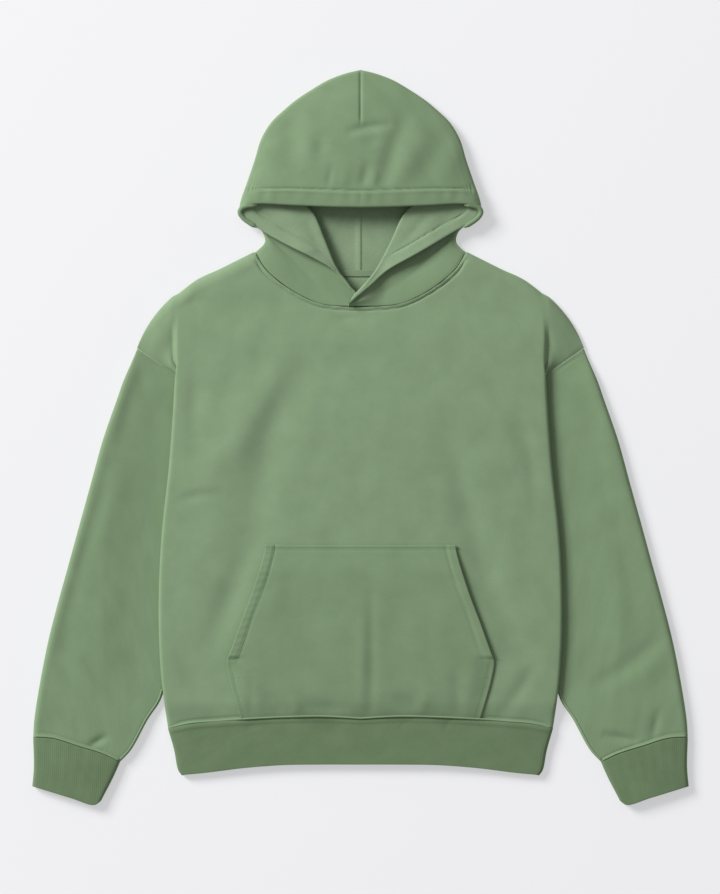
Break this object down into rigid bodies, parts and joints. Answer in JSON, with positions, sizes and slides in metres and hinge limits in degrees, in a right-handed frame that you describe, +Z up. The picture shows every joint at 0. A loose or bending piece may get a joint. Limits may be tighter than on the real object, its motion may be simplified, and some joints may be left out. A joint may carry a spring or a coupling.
{
  "type": "pullover hoodie",
  "caption": "Long-sleeved fleece pullover hoodie laid flat, with a hood, kangaroo pocket and rib cuffs and hem.",
  "frame": {"origin": "on the surface the hoodie lies on, under the centre of its overall length and width", "axes": "+X towards the wearer's left, +Y towards the hood, +Z up from the surface"},
  "size_m": [0.8756, 0.9781, 0.0323],
  "materials": {
    "fleece": "brushed cotton fleece, sage green, matt with a soft nap",
    "rib": "fine cotton rib knit, a darker sage green, matt",
    "tape": "cotton herringbone tape, sage green"
  },
  "bodies": {
    "root": {"front": "fleece", "back": "fleece", "sleeve_right": "fleece", "sleeve_left": "fleece", "cuff_right": "rib", "cuff_left": "rib", "hem_band": "rib", "pocket": "fleece", "hood_right": "fleece", "hood_left": "fleece", "neck_tape": "tape"}
  },
  "joints": []
}
